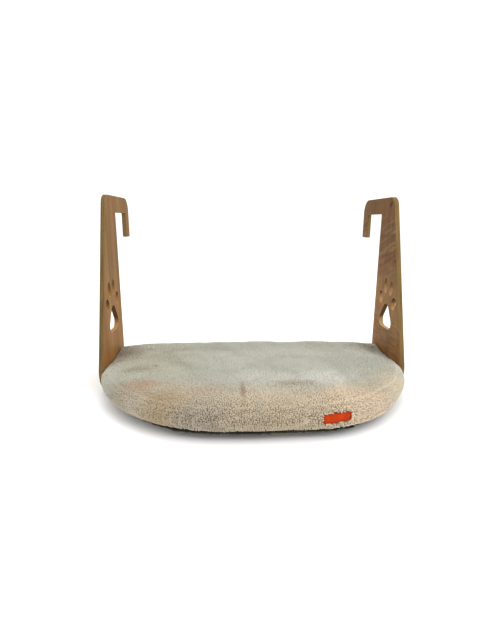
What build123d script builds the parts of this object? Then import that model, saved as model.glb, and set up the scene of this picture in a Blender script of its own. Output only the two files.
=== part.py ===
# Pet bed that hangs on a panel radiator.
# Two wooden brackets hook over the radiator, a D-shaped board is bolted between them, and a loose plush
# cushion with a zipped cover lies on the board. Millimetres, +Z up, +X right, -Y to the bed's front.
# The origin lies on the floor plane under the brackets, midway between the bed's outermost points.

from build123d import *
import math
import os

# Brackets
inner_width = 500
bracket_thickness = 8
bracket_height = 326
bracket_top_reach = 55
bracket_foot_reach = 151
top_front_radius = 20
foot_front_radius = 34
foot_back_radius = 3
bracket_edge_break = 0.6

# Hook over the radiator
hook_slot_width = 76.5
hook_bar_height = 29.5
hook_leg_width = 26
hook_leg_drop = 47
hook_outer_radius = 26
hook_inner_radius = 2
leg_end_radius = 2.5

# Paw-shaped hole in each bracket
paw_setback = 57.5
paw_height = 115
paw_width = 58
paw_tilt = 3
# across, up, radius as shares of the paw's width
pad_shares = ((0.014, 0.10, 0.225), (-0.257, -0.24, 0.205), (0.285, -0.28, 0.205))
# across, up, width, height as shares of the paw's width, then the outward lean in degrees
toe_shares = ((0.213, 0.87, 0.26, 0.48, 5), (0.51, 0.45, 0.31, 0.41, 20))

# Board
board_thickness = 12
board_reach = 276
board_straight = 92
board_back_gap = 2
board_edge_radius = 1.5
# radius of the D's shoulders as a share of the depth of its round front
board_shoulder_share = 0.8

# Bolts through the brackets into barrel nuts in the board
bolt_radius = 2.5
bolt_length = 35
bolt_hole_clearance = 0.25
bolt_thread_clearance = 0.05
bolt_head_clearance = 0.05
bolt_head_radius = 5
bolt_socket_width = 3
bolt_socket_depth = 1.8
bolt_inset_back = 22
bolt_inset_front = 86
barrel_radius = 4
barrel_length = 11
barrel_inset = 20
barrel_clearance = 0.1
barrel_slot_width = 1.2
barrel_slot_depth = 1.2

# Cushion
cushion_side_gap = 0.5
cushion_back_gap = 8
cushion_reach = 304
cushion_straight = 92
cushion_bulge = 9
cushion_corner_radius = 16
cushion_shoulder_share = 0.99
cushion_top = 49.5
rest_gap = 0.3
panel_thickness = 1.5
cover_thickness = 3
edge_roll = 20
core_gap = 0.3
# height as a share of the cushion's height, then how far the side draws in as a share of edge_roll
cushion_profile_shares = (
    (0, 0.30),
    (0.10, 0.11),
    (0.28, 0),
    (0.58, 0),
    (0.77, 0.12),
    (0.88, 0.40),
    (0.955, 1.1),
    (1, 3.2),
)
zip_height_share = 0.42

# Zip along the cushion's back
zip_end_inset = 50
zip_opening_height = 14
tape_thickness = 0.8
tape_setback = 1.2
coil_width = 2.6
coil_depth = 2
coil_gap = 0.7
coil_edge_radius = 0.9
stop_length = 2.5
slider_length = 11
slider_wall = 1.2
slider_gap = 0.25
slider_web_length = 3
slider_web_thickness = 0.4
slider_radius = 1
crown_length = 7
crown_width = 2
crown_wall = 0.9
crown_opening_height = 1.6
pull_length = 24
pull_width = 7
pull_neck_width = 5.6
pull_thickness = 1.1
pull_gap = 0.2
pull_pin_radius = 0.65
zip_park = 1

# Woven label on the cushion's front
label_width = 42
label_height = 14
label_thickness = 0.8
label_gap = 0.3
# place to the right of the middle as a share of the cushion's half width
label_side_share = 0.4
label_drop = 20.5

# One overrun for every cut
overrun = 5

half_inner = inner_width / 2
half_outer = half_inner + bracket_thickness
hook_reach = hook_slot_width + hook_leg_width
# The bed's outermost points are the cushion's front and the hooks' back, and the origin lies midway.
back_plane = (cushion_reach - hook_reach) / 2
slot_floor = bracket_height - hook_bar_height
bolt_rows = (back_plane - bolt_inset_back, back_plane - bolt_inset_front)
bolt_height = board_thickness / 2

cover_floor = board_thickness + rest_gap + panel_thickness
cover_height = cushion_top - cover_floor
cushion_back = back_plane - cushion_back_gap
cushion_front = back_plane - cushion_reach
cushion_half = half_inner - cushion_side_gap
cushion_shoulder = back_plane - cushion_straight
foot_draw = cushion_profile_shares[0][1] * edge_roll

zip_length = inner_width - 2 * zip_end_inset
zip_run = zip_length + 2 * stop_length
zip_centre = cover_floor + zip_height_share * cover_height
tape_face = cushion_back - tape_setback
tape_back = tape_face - tape_thickness
coil_face = tape_face + coil_depth
slider_half_width = coil_gap / 2 + coil_width + slider_gap + slider_wall
plate_floor = coil_face + slider_gap
plate_top = plate_floor + slider_wall
inner_plate_top = tape_back - slider_gap
slider_rest = zip_length / 2 - zip_park - slider_length / 2
pin_height = plate_top + crown_opening_height / 2


def front_radius(half_width, depth, shoulder):
    """Radius of the middle arc of a three-centred front that is depth deep."""
    return (half_width**2 + depth**2 - 2 * half_width * shoulder) / (2 * (depth - shoulder))


def draw_d(half_width, bulge, back, straight, front, corner, shoulder_share, inset=0, mode=Mode.ADD):
    """A D in plan, drawn in by inset: straight back and sides, and a three-centred front.

    The front's arcs are those of a D that is wider by bulge on each side, pressed in to half_width.
    """
    depth = straight - front
    full_shoulder = shoulder_share * depth
    radius = front_radius(half_width + bulge, depth, full_shoulder) - inset
    shoulder = full_shoulder - inset
    half_width = half_width - inset
    back = back - inset
    arc_centre = (0, front + inset + radius)
    shoulder_x = half_width + bulge - shoulder
    turn = math.degrees(math.atan2(shoulder_x, arc_centre[1] - straight))
    start = math.degrees(math.acos(1 - bulge / shoulder))
    side_end = straight - shoulder * math.sin(math.radians(start))
    with BuildLine() as outline:
        Line((-half_width + corner, back), (half_width - corner, back))
        CenterArc((half_width - corner, back - corner), corner, 90, -90)
        Line((half_width, back - corner), (half_width, side_end))
        CenterArc((shoulder_x, straight), shoulder, -start, turn + start - 90)
        CenterArc(arc_centre, radius, turn - 90, -2 * turn)
        CenterArc((-shoulder_x, straight), shoulder, -90 - turn, turn + start - 90)
        Line((-half_width, side_end), (-half_width, back - corner))
        CenterArc((-half_width + corner, back - corner), corner, 180, -90)
    make_face(outline.edges(), mode=mode)


def draw_cushion(inset, mode=Mode.ADD):
    """The cushion's outline in plan, drawn in by inset."""
    draw_d(
        cushion_half,
        cushion_bulge,
        cushion_back,
        cushion_shoulder,
        cushion_front,
        cushion_corner_radius,
        cushion_shoulder_share,
        inset,
        mode,
    )


def loft_cushion(skin, floor, profile_shares, mode=Mode.ADD):
    """The cushion's crowned form with drawn-in sides, skin deep inside its outer surface, down to floor."""
    sections = []
    for height_share, draw_share in profile_shares:
        height = floor + height_share * (cushion_top - skin - floor)
        with BuildSketch(Plane.XY.offset(height)) as section:
            draw_cushion(draw_share * edge_roll + skin)
        sections.append(section.sketch)
    loft(sections, ruled=True, mode=mode)


def draw_toes():
    """The paw's four toes, in the paw's own plane."""
    for hand in (-1, 1):
        for across, up, width, height, lean in toe_shares:
            with Locations((hand * across * paw_width, up * paw_width)):
                Ellipse(width * paw_width / 2, height * paw_width / 2, rotation=-hand * lean)


def draw_pad():
    """The paw's pad, a rounded triangle: the hull of three circles."""
    for across, up, radius in pad_shares:
        with Locations((across * paw_width, up * paw_width)):
            Circle(radius * paw_width)
    make_hull()


def make_bracket(side):
    """A bracket plate with its hook, paw and two bolt holes. side is -1 on the left, 1 on the right."""
    near = half_inner if side > 0 else -half_outer
    leg_front = back_plane + hook_slot_width
    leg_back = back_plane + hook_reach
    corners = (
        ((back_plane, 0), foot_back_radius),
        ((back_plane, slot_floor), hook_inner_radius),
        ((leg_front, slot_floor), hook_inner_radius),
        ((leg_front, slot_floor - hook_leg_drop), leg_end_radius),
        ((leg_back, slot_floor - hook_leg_drop), leg_end_radius),
        ((leg_back, bracket_height), hook_outer_radius),
        ((back_plane - bracket_top_reach, bracket_height), top_front_radius),
        ((back_plane - bracket_foot_reach, 0), foot_front_radius),
    )
    paw_place = Plane(
        origin=(near, back_plane - paw_setback, paw_height),
        x_dir=(0, math.cos(math.radians(paw_tilt)), math.sin(math.radians(paw_tilt))),
        z_dir=(1, 0, 0),
    )
    with BuildPart() as bracket:
        with BuildSketch(Plane.YZ.offset(near)):
            with BuildLine():
                FilletPolyline(
                    *[place for place, radius in corners],
                    radius=[radius for place, radius in corners],
                    close=True,
                )
            make_face()
        extrude(amount=bracket_thickness)
        chamfer(bracket.faces().filter_by(Axis.X).edges(), bracket_edge_break)
        with BuildSketch(paw_place):
            draw_toes()
        extrude(amount=bracket_thickness, mode=Mode.SUBTRACT)
        with BuildSketch(paw_place):
            draw_pad()
        extrude(amount=bracket_thickness, mode=Mode.SUBTRACT)
        for row in bolt_rows:
            with Locations(Plane(origin=(side * half_outer, row, bolt_height), z_dir=(side, 0, 0))):
                CounterSinkHole(
                    bolt_radius + bolt_hole_clearance,
                    bolt_head_radius,
                    depth=bracket_thickness,
                    counter_sink_angle=90,
                )
    return bracket


def make_board():
    """The D-shaped board, with its bolt and barrel nut holes."""
    with BuildPart() as board:
        with BuildSketch():
            draw_d(
                half_inner,
                0,
                back_plane - board_back_gap,
                back_plane - board_straight,
                back_plane - board_reach,
                board_edge_radius,
                board_shoulder_share,
            )
        extrude(amount=board_thickness)
        for side in (-1, 1):
            for row in bolt_rows:
                with Locations(Plane(origin=(side * half_inner, row, bolt_height), z_dir=(side, 0, 0))):
                    Hole(bolt_radius + bolt_hole_clearance, depth=bolt_length - bracket_thickness + overrun)
                with Locations(Plane.XY.offset(board_thickness)):
                    with Locations((side * (half_inner - barrel_inset), row)):
                        Hole(barrel_radius + barrel_clearance)
    return board


def make_bolts(side):
    """Two countersunk socket bolts, each turned about its own axis."""
    tip = side * (half_outer - bolt_length)
    face = side * half_outer
    head_radius = bolt_head_radius - bolt_head_clearance
    cone_end = side * (half_outer - head_radius + bolt_radius)
    socket_floor = face - side * bolt_socket_depth
    with BuildPart() as bolts:
        for row in bolt_rows:
            with BuildSketch(Plane.XY.offset(bolt_height)):
                with BuildLine():
                    Polyline(
                        (tip, row),
                        (tip, row + bolt_radius),
                        (cone_end, row + bolt_radius),
                        (face, row + head_radius),
                        (face, row),
                        close=True,
                    )
                make_face()
            revolve(axis=Axis((0, row, bolt_height), (1, 0, 0)))
            with BuildSketch(Plane(origin=(socket_floor, row, bolt_height), z_dir=(side, 0, 0))):
                RegularPolygon(bolt_socket_width / 2, 6, major_radius=False)
            extrude(amount=bolt_socket_depth, mode=Mode.SUBTRACT)
    return bolts


def make_barrel_nuts(side):
    """Two barrel nuts that stand in the board, each with its cross hole and a slot for a screwdriver."""
    floor = (board_thickness - barrel_length) / 2
    place = side * (half_inner - barrel_inset)
    with BuildPart() as nuts:
        for row in bolt_rows:
            with BuildSketch(Plane.XY.offset(floor)):
                with Locations((place, row)):
                    Circle(barrel_radius)
            extrude(amount=barrel_length)
            with BuildSketch(Plane(origin=(place - barrel_radius, row, bolt_height), z_dir=(1, 0, 0))):
                Circle(bolt_radius + bolt_thread_clearance)
            extrude(amount=2 * barrel_radius, mode=Mode.SUBTRACT)
            with BuildSketch(Plane.XY.offset(floor)):
                with Locations((place, row)):
                    Rectangle(barrel_slot_width, 2 * barrel_radius)
            extrude(amount=barrel_slot_depth, mode=Mode.SUBTRACT)
    return nuts


def make_cover():
    """The plush cover: a crowned shell, open below, with the zip's opening along its back."""
    with BuildPart() as cover:
        loft_cushion(0, cover_floor, cushion_profile_shares)
        loft_cushion(cover_thickness, cover_floor, cushion_profile_shares, Mode.SUBTRACT)
        with BuildSketch(Plane.XZ.offset(-cushion_back - overrun)):
            with Locations((0, zip_centre)):
                Rectangle(zip_run, zip_opening_height)
        extrude(amount=cover_thickness + 2 * overrun, mode=Mode.SUBTRACT)
    return cover


def make_core():
    """The cushion's filling, hollowed along its back where the slider runs. It follows fewer rings."""
    groove_back = inner_plate_top - slider_wall - core_gap
    core_profile_shares = cushion_profile_shares[:1] + cushion_profile_shares[3::2]
    with BuildPart() as core:
        loft_cushion(cover_thickness + core_gap, cover_floor + core_gap, core_profile_shares)
        with BuildSketch(Plane.XZ.offset(-cushion_back)):
            with Locations((0, zip_centre)):
                Rectangle(zip_run, zip_opening_height)
        extrude(amount=cushion_back - groove_back, mode=Mode.SUBTRACT)
    return core


def make_panel():
    """The dark panel under the cushion."""
    with BuildPart() as panel:
        with BuildSketch(Plane.XY.offset(board_thickness + rest_gap)):
            draw_cushion(foot_draw)
        extrude(amount=panel_thickness)
    return panel


def make_tape(side):
    """One zip tape. side is 1 for the upper tape, -1 for the lower."""
    height = zip_opening_height / 2 - coil_gap / 2
    with BuildPart() as tape:
        with BuildSketch(Plane.XZ.offset(-tape_face)):
            with Locations((0, zip_centre + side * (coil_gap + height) / 2)):
                Rectangle(zip_run, height)
        extrude(amount=tape_thickness)
    return tape


def make_coil(side):
    """One half of the zip's coil, a rounded bead along the edge of its tape."""
    centre = zip_centre + side * (coil_gap + coil_width) / 2
    with BuildPart() as coil:
        with BuildSketch(Plane.YZ.offset(-zip_length / 2)):
            with Locations((tape_face + coil_depth / 2, centre)):
                Rectangle(coil_depth, coil_width)
        extrude(amount=zip_length)
        outer_edges = coil.edges().filter_by(Axis.X).group_by(Axis.Y)[-1]
        fillet(outer_edges, coil_edge_radius)
    return coil


def make_stops():
    """The stops at the coil's ends: one on each tape at the closed end, and one across both at the other."""
    with BuildPart() as stops:
        for side in (-1, 1):
            with BuildSketch(Plane.YZ.offset(zip_length / 2)):
                with Locations((tape_face + coil_depth / 2, zip_centre + side * (coil_gap + coil_width) / 2)):
                    Rectangle(coil_depth, coil_width)
            extrude(amount=stop_length)
        with BuildSketch(Plane.YZ.offset(-zip_length / 2)):
            with Locations((tape_face + coil_depth / 2, zip_centre)):
                Rectangle(coil_depth, coil_gap + 2 * coil_width)
        extrude(amount=-stop_length)
    return stops


def make_slider():
    """The slider: a shell over the coil, an inner plate behind the tapes, a web between, and the crown."""
    left = slider_rest - slider_length / 2
    with BuildPart() as slider:
        with BuildSketch(Plane.YZ.offset(left)):
            with Locations(((tape_face + slider_gap + plate_top) / 2, zip_centre)):
                Rectangle(plate_top - tape_face - slider_gap, 2 * slider_half_width)
            with Locations(((tape_face + slider_gap + plate_floor) / 2, zip_centre)):
                Rectangle(
                    plate_floor - tape_face - slider_gap,
                    2 * (slider_half_width - slider_wall),
                    mode=Mode.SUBTRACT,
                )
            with Locations((inner_plate_top - slider_wall / 2, zip_centre)):
                Rectangle(slider_wall, 2 * slider_half_width)
        extrude(amount=slider_length)
        long_edges = slider.edges().filter_by(Axis.Y)
        fillet(long_edges.sort_by(Axis.Z)[:2] + long_edges.sort_by(Axis.Z)[-2:], slider_radius)
        with BuildSketch(Plane.YZ.offset(slider_rest + slider_length / 2 - slider_web_length)):
            with Locations(((inner_plate_top + plate_floor) / 2, zip_centre)):
                Rectangle(plate_floor - inner_plate_top, slider_web_thickness)
        extrude(amount=slider_web_length)
        with BuildSketch(Plane.XY.offset(zip_centre - crown_width / 2)):
            with Locations((slider_rest, plate_top + (crown_opening_height + crown_wall) / 2)):
                RectangleRounded(crown_length, crown_opening_height + crown_wall, crown_wall)
            with Locations((slider_rest, plate_top + crown_wall)):
                Rectangle(crown_length, 2 * crown_wall)
            with Locations((slider_rest, plate_top + crown_opening_height / 2)):
                Rectangle(crown_length - 2 * crown_wall, crown_opening_height, mode=Mode.SUBTRACT)
        extrude(amount=crown_width)
    return slider


def make_pull():
    """The pull: a tapered tab whose pin turns under the slider's crown."""
    arm_reach = crown_length / 2 + crown_opening_height + crown_wall
    tail = slider_rest - pull_length
    with BuildPart() as pull:
        with BuildSketch(Plane.XZ.offset(-pin_height - pull_thickness / 2)):
            with BuildLine():
                Polyline(
                    (slider_rest + pull_pin_radius, zip_centre + pull_neck_width / 2),
                    (slider_rest - arm_reach, zip_centre + pull_neck_width / 2),
                    (tail + pull_width / 2, zip_centre + pull_width / 2),
                    (tail + pull_width / 2, zip_centre - pull_width / 2),
                    (slider_rest - arm_reach, zip_centre - pull_neck_width / 2),
                    (slider_rest + pull_pin_radius, zip_centre - pull_neck_width / 2),
                    close=True,
                )
            make_face()
            with Locations((tail + pull_width / 2, zip_centre)):
                Circle(pull_width / 2)
            with Locations((slider_rest + pull_pin_radius - arm_reach / 2, zip_centre)):
                Rectangle(arm_reach, crown_width + 2 * pull_gap, mode=Mode.SUBTRACT)
        extrude(amount=pull_thickness)
        with BuildSketch(Plane.XY.offset(zip_centre - crown_width / 2 - pull_gap)):
            with Locations((slider_rest, pin_height)):
                Circle(pull_pin_radius)
        extrude(amount=crown_width + 2 * pull_gap)
    return pull


def make_label():
    """The bare woven label, bent round the cushion's front."""
    depth = cushion_shoulder - cushion_front
    shoulder = cushion_shoulder_share * depth
    shoulder_x = cushion_half + cushion_bulge - shoulder
    side_place = label_side_share * cushion_half
    turn = math.asin((side_place - shoulder_x) / shoulder)
    height = cushion_top - label_drop
    place = Plane(
        origin=(side_place, cushion_shoulder - shoulder * math.cos(turn), height),
        x_dir=(math.cos(turn), math.sin(turn), 0),
        z_dir=(math.sin(turn), -math.cos(turn), 0),
    )
    with BuildPart() as label:
        with BuildSketch(Plane.XY.offset(height - label_width / 2)):
            draw_cushion(-label_gap - label_thickness)
            draw_cushion(-label_gap, Mode.SUBTRACT)
        extrude(amount=label_width)
        with BuildSketch(place.offset(-label_width / 2)):
            Rectangle(label_width, label_height)
        extrude(amount=label_width, mode=Mode.INTERSECT)
    return label


pieces = {
    "left_bracket": make_bracket(-1),
    "right_bracket": make_bracket(1),
    "base_board": make_board(),
    "left_bolts": make_bolts(-1),
    "right_bolts": make_bolts(1),
    "left_barrel_nuts": make_barrel_nuts(-1),
    "right_barrel_nuts": make_barrel_nuts(1),
    "plush_cover": make_cover(),
    "cushion_core": make_core(),
    "underside_panel": make_panel(),
    "upper_zip_tape": make_tape(1),
    "lower_zip_tape": make_tape(-1),
    "upper_zip_coil": make_coil(1),
    "lower_zip_coil": make_coil(-1),
    "zip_stops": make_stops(),
    "zip_slider": make_slider(),
    "zip_pull": make_pull(),
    "side_label": make_label(),
}

os.makedirs("parts", exist_ok=True)
for name, piece in pieces.items():
    piece.part.label = name
    export_step(piece.part, f"parts/{name}.step")
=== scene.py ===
# Looks of the plush pet bed that hangs on a radiator.
# Metres, +Z up, +X to the right and -Y to the front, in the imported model's own frame.

import math

import bmesh
import bpy
import numpy as np
from mathutils import Matrix, Vector


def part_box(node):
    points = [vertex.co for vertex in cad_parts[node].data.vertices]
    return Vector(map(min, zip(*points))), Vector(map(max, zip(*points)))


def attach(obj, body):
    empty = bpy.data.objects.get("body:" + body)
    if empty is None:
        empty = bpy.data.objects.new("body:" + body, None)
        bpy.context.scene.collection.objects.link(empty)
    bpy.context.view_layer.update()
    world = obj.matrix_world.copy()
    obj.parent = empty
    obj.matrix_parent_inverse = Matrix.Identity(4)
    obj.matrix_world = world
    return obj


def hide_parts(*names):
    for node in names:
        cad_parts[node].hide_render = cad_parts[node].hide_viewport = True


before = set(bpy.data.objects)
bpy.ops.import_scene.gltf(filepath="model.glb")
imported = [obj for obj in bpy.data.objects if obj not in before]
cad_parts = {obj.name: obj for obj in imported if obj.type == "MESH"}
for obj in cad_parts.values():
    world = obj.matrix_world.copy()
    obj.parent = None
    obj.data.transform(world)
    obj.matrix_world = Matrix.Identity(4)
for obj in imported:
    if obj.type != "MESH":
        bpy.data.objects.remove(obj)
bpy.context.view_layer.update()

MM = 0.001
# how much brighter the studio's light is than what shows a white surface as white
LIGHT_LEVEL = 1.2
chance = np.random.default_rng(7)


def mm(*lengths):
    """Lengths in millimetres as metres."""
    return tuple(length * MM for length in lengths)


# Places read from the frame

bracket_low, bracket_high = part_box("right_bracket")
cover_low, cover_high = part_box("plush_cover")
panel_low, panel_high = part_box("underside_panel")
tape_low, tape_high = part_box("lower_zip_tape")
label_low, label_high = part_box("side_label")

# how far the board's back edge lies ahead of the brackets'
BOARD_BACK_GAP = 2 * MM
inner_face = bracket_low.x
back_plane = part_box("base_board")[1].y + BOARD_BACK_GAP
zip_middle = (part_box("lower_zip_coil")[1].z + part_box("upper_zip_coil")[0].z) / 2
FLOOR = cover_low.z
CROWN = cover_high.z


# Node materials

def feed(tree, socket, value):
    """Links value to the socket where it is a node's output, and sets it otherwise."""
    if isinstance(value, bpy.types.NodeSocket):
        tree.links.new(value, socket)
    else:
        socket.default_value = value


def make_node(tree, kind, inputs=None, **settings):
    """A shader node of a kind, with its settings and its inputs."""
    made = tree.nodes.new("ShaderNode" + kind)
    for name, value in settings.items():
        setattr(made, name, value)
    for name, value in (inputs or {}).items():
        feed(tree, made.inputs[name], value)
    return made


def start_material(name):
    """A new material with an empty tree but for its shader and output."""
    material = bpy.data.materials.new(name)
    material.use_nodes = True
    tree = material.node_tree
    tree.nodes.clear()
    shader = make_node(tree, "BsdfPrincipled")
    make_node(tree, "OutputMaterial", {"Surface": shader.outputs["BSDF"]})
    return material, tree


def srgb(red, green, blue):
    """A colour as it shows on screen, 0 to 255, turned into what shaders take in this light."""
    parts = [c / 255 for c in (red, green, blue)]
    linear = [c / 12.92 if c <= 0.04045 else ((c + 0.055) / 1.055) ** 2.4 for c in parts]
    return (*[c / LIGHT_LEVEL for c in linear], 1)


def grey(value):
    return (value, value, value, 1)


def place(tree, sizes=(1, 1, 1), turn=(0, 0, 0), centre=(0, 0, 0)):
    """Coordinates on the piece, counted from centre along axes turned by degrees, in units of sizes."""
    inputs = {
        "Vector": make_node(tree, "TexCoord").outputs["Object"],
        "Scale": sizes,
        "Rotation": [math.radians(a) for a in turn],
        "Location": centre,
    }
    return make_node(tree, "Mapping", inputs, vector_type="TEXTURE").outputs["Vector"]


def axes_of(tree, vector):
    """The three numbers of a vector."""
    return make_node(tree, "SeparateXYZ", {"Vector": vector}).outputs


def length_of(tree, vector):
    return make_node(tree, "VectorMath", {0: vector}, operation="LENGTH").outputs["Value"]


def noise(tree, sizes, turn=(0, 0, 0), centre=(0, 0, 0), detail=3, rough=0.5, distortion=0):
    """Noise whose lumps are about sizes apart, along axes turned by degrees."""
    vector = place(tree, sizes, turn, centre)
    inputs = {"Vector": vector, "Scale": 1, "Detail": detail, "Roughness": rough, "Distortion": distortion}
    return make_node(tree, "TexNoise", inputs).outputs["Fac"]


def even_noise(tree, size, **settings):
    """Noise alike along every axis, its lumps about size apart."""
    return noise(tree, (size, size, size), **settings)


def ramp(tree, factor, stops):
    """A colour ramp through (place, colour) stops."""
    made = make_node(tree, "ValToRGB", {"Fac": factor})
    elements = made.color_ramp.elements
    while len(elements) < len(stops):
        elements.new(0.5)
    for element, (position, colour) in zip(elements, stops):
        element.position = position
        element.color = colour
    return made.outputs["Color"]


def maths(tree, operation, *values):
    return make_node(tree, "Math", dict(enumerate(values)), operation=operation).outputs["Value"]


def product(tree, *values):
    """All the values multiplied together."""
    total = values[0]
    for value in values[1:]:
        total = maths(tree, "MULTIPLY", total, value)
    return total


def span(tree, value, low, high, to_low=0.0, to_high=1.0):
    """value mapped smoothly from low..high to to_low..to_high."""
    inputs = {"Value": value, "From Min": low, "From Max": high, "To Min": to_low, "To Max": to_high}
    return make_node(tree, "MapRange", inputs, interpolation_type="SMOOTHSTEP").outputs["Result"]


def window(tree, value, rise, fall):
    """1 between two slopes, each given as where it is 0 and where it is 1."""
    return product(tree, span(tree, value, *rise), span(tree, value, *fall))


def mix(tree, factor, first, second, blend="MIX"):
    """Two colours mixed by factor."""
    inputs = {0: factor, 6: first, 7: second}
    return make_node(tree, "Mix", inputs, data_type="RGBA", blend_type=blend).outputs[2]


def tinted(tree, colour, tint):
    """One colour multiplied by another."""
    return mix(tree, 1, colour, tint, "MULTIPLY")


def shade(tree, colour, factor, low, dark, high, light):
    """colour made darker where factor is low and lighter where it is high."""
    return tinted(tree, colour, ramp(tree, factor, [(low, grey(dark)), (high, grey(light))]))


def finish_material(material, bump=None, **sockets):
    """Feeds the shader's inputs, named with _ for a space. bump is its height, strength and distance."""
    tree = material.node_tree
    if bump:
        inputs = dict(zip(("Height", "Strength", "Distance"), bump))
        sockets["Normal"] = make_node(tree, "Bump", inputs).outputs["Normal"]
    for name, value in sockets.items():
        feed(tree, tree.nodes["Principled BSDF"].inputs[name.replace("_", " ")], value)
    return material


# heights at which the brackets' wood changes, each as where the change is 0 and where it is full
# the first of these: where painted light low on the brackets gives way to painted shade higher up
PAINTED_LIGHT_FADE = mm(60, 260)
STREAKS_RISE, STREAKS_FALL = mm(165, 215), mm(300, 275)
WAVES_RISE, WAVES_FALL = mm(75, 100), mm(200, 165)
RIPPLE_FALL = mm(125, 90)
# the part of a bracket that holds the paw, whose walls get painted shade and light: where its front, back and
# upper edges fade
PAW_FRONT, PAW_BACK, PAW_TOP = mm(6, 10), mm(92, 86), mm(172, 165)


def figured(tree, colour, dark, light, strength):
    """Slanting streaks high up the wood, waves in its middle and a cross ripple low down."""
    height = axes_of(tree, place(tree))["Z"]
    slanting = noise(tree, mm(90, 64, 6.5), (-17, 0, 0), detail=4, distortion=0.4)
    high_up = window(tree, height, STREAKS_RISE, STREAKS_FALL)
    streaked = product(tree, span(tree, slanting, 0.50, 0.62), high_up, 0.75 * strength)
    lifted = product(tree, span(tree, slanting, 0.47, 0.38), high_up, 0.5 * strength)
    colour = mix(tree, lifted, mix(tree, streaked, colour, dark), light)
    waves = noise(tree, mm(60, 9, 34), (14, 0, 0), distortion=1.6)
    halfway = window(tree, height, WAVES_RISE, WAVES_FALL)
    colour = mix(tree, product(tree, span(tree, waves, 0.45, 0.60), halfway, strength), colour, light)
    ripple = noise(tree, mm(60, 30, 2.6), (3, 0, 0), detail=2, distortion=0.3)
    low_down = span(tree, height, *RIPPLE_FALL)
    return mix(tree, product(tree, span(tree, ripple, 0.47, 0.60), low_down, 0.6 * strength), colour, dark)


def knotted(tree, colour, knot):
    """A dark slanting knot with a ragged rim."""
    apart = length_of(tree, place(tree, mm(9, 8, 4.6), (-32, 0, 0), knot))
    wander = maths(tree, "MULTIPLY", even_noise(tree, 3 * MM), 0.8)
    return mix(tree, span(tree, maths(tree, "ADD", apart, wander), 1.6, 0.9), colour, srgb(66, 48, 20))


def wood_material(name, tones, edge_tones, along, seed, paw_wall_painted_shade=(), figure=0.0, knot=None):
    """Brown wood with long grain and pores, cut edges of their own colours, and painted light low down and
    painted shade high up where its grain runs upright.

    tones are dark, middle and light, and along is the grain's axis, 0 to 2. The hole tones are painted shade
    and light on the paw's walls that face down, ahead and up. figure is how strong the wood's figure is, and
    knot is a knot's place.
    """
    material, tree = start_material(name)
    dark, middle, light = tones

    def grain(across, length, **settings):
        sizes = [across] * 3
        sizes[along] = length
        return noise(tree, sizes, centre=(seed, 2 * seed, 3 * seed), **settings)

    bands = grain(17 * MM, 420 * MM, detail=2, distortion=0.4)
    colour = ramp(tree, bands, [(0.34, dark), (0.5, middle), (0.66, light)])
    colour = mix(tree, 0.5 + 0.4 * figure, colour, middle)
    warm, cool = (1.08, 0.97, 0.88, 1), (0.94, 1.01, 0.99, 1)
    colour = tinted(tree, colour, ramp(tree, even_noise(tree, 55 * MM), [(0.35, warm), (0.65, cool)]))
    streaks = grain(4.2 * MM, 200 * MM, rough=0.6)
    colour = shade(tree, colour, streaks, 0.34, 0.84 + 0.08 * figure, 0.64, 1.10 - 0.04 * figure)
    fibres = grain(1.5 * MM, 60 * MM, detail=2)
    colour = shade(tree, colour, fibres, 0.32, 0.88, 0.66, 1.08)
    pores = grain(0.6 * MM, 9 * MM, detail=1)
    colour = shade(tree, colour, pores, 0.30, 0.70, 0.40, 1.0)
    spot = axes_of(tree, place(tree))
    # painted light lower down and painted shade higher up, on wood whose grain runs upright
    if along:
        painted_light_low = (1.18 + 0.18 * figure, 1.14 + 0.22 * figure, 1.08 + 0.24 * figure, 1)
        painted_light_by_height = ramp(tree, span(tree, spot["Z"], *PAINTED_LIGHT_FADE), [(0, painted_light_low), (1, grey(0.88 - 0.12 * figure))])
        colour = tinted(tree, colour, painted_light_by_height)
    if figure:
        colour = figured(tree, colour, dark, light, figure)
    if knot:
        colour = knotted(tree, colour, knot)
    facing_axes = axes_of(tree, make_node(tree, "TexCoord").outputs["Normal"])
    facing = maths(tree, "ABSOLUTE", facing_axes["X" if along else "Z"])
    plies = noise(tree, mm(1.4, 60, 60), centre=(seed, 0, 0), detail=2)
    edge_colour = ramp(tree, plies, [(0.36, edge_tones[0]), (0.62, edge_tones[1])])
    if paw_wall_painted_shade:
        # painted shade on the paw's walls that face down, and painted light on those that face ahead and up
        in_paw = product(tree, window(tree, spot["Y"], PAW_FRONT, PAW_BACK), span(tree, spot["Z"], *PAW_TOP))
        walls = ramp(tree, span(tree, facing_axes["Z"], -0.8, 0.9), list(zip((0.05, 0.4, 1.0), paw_wall_painted_shade)))
        edge_colour = mix(tree, in_paw, edge_colour, walls)
    edge_colour = shade(tree, edge_colour, fibres, 0.30, 0.86, 0.66, 1.08)
    colour = mix(tree, maths(tree, "LESS_THAN", facing, 0.75), colour, edge_colour)
    worn = product(tree, window(tree, facing, (0.55, 0.68), (0.85, 0.74)), 0.35)
    colour = mix(tree, worn, colour, light)
    roughness = span(tree, bands, 0.2, 0.8, 0.66, 0.52)
    bump = (maths(tree, "ADD", fibres, maths(tree, "MULTIPLY", pores, 0.6)), 0.35, 0.25 * MM)
    return finish_material(material, bump, Base_Color=colour, Roughness=roughness, Specular_IOR_Level=0.06)
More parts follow.
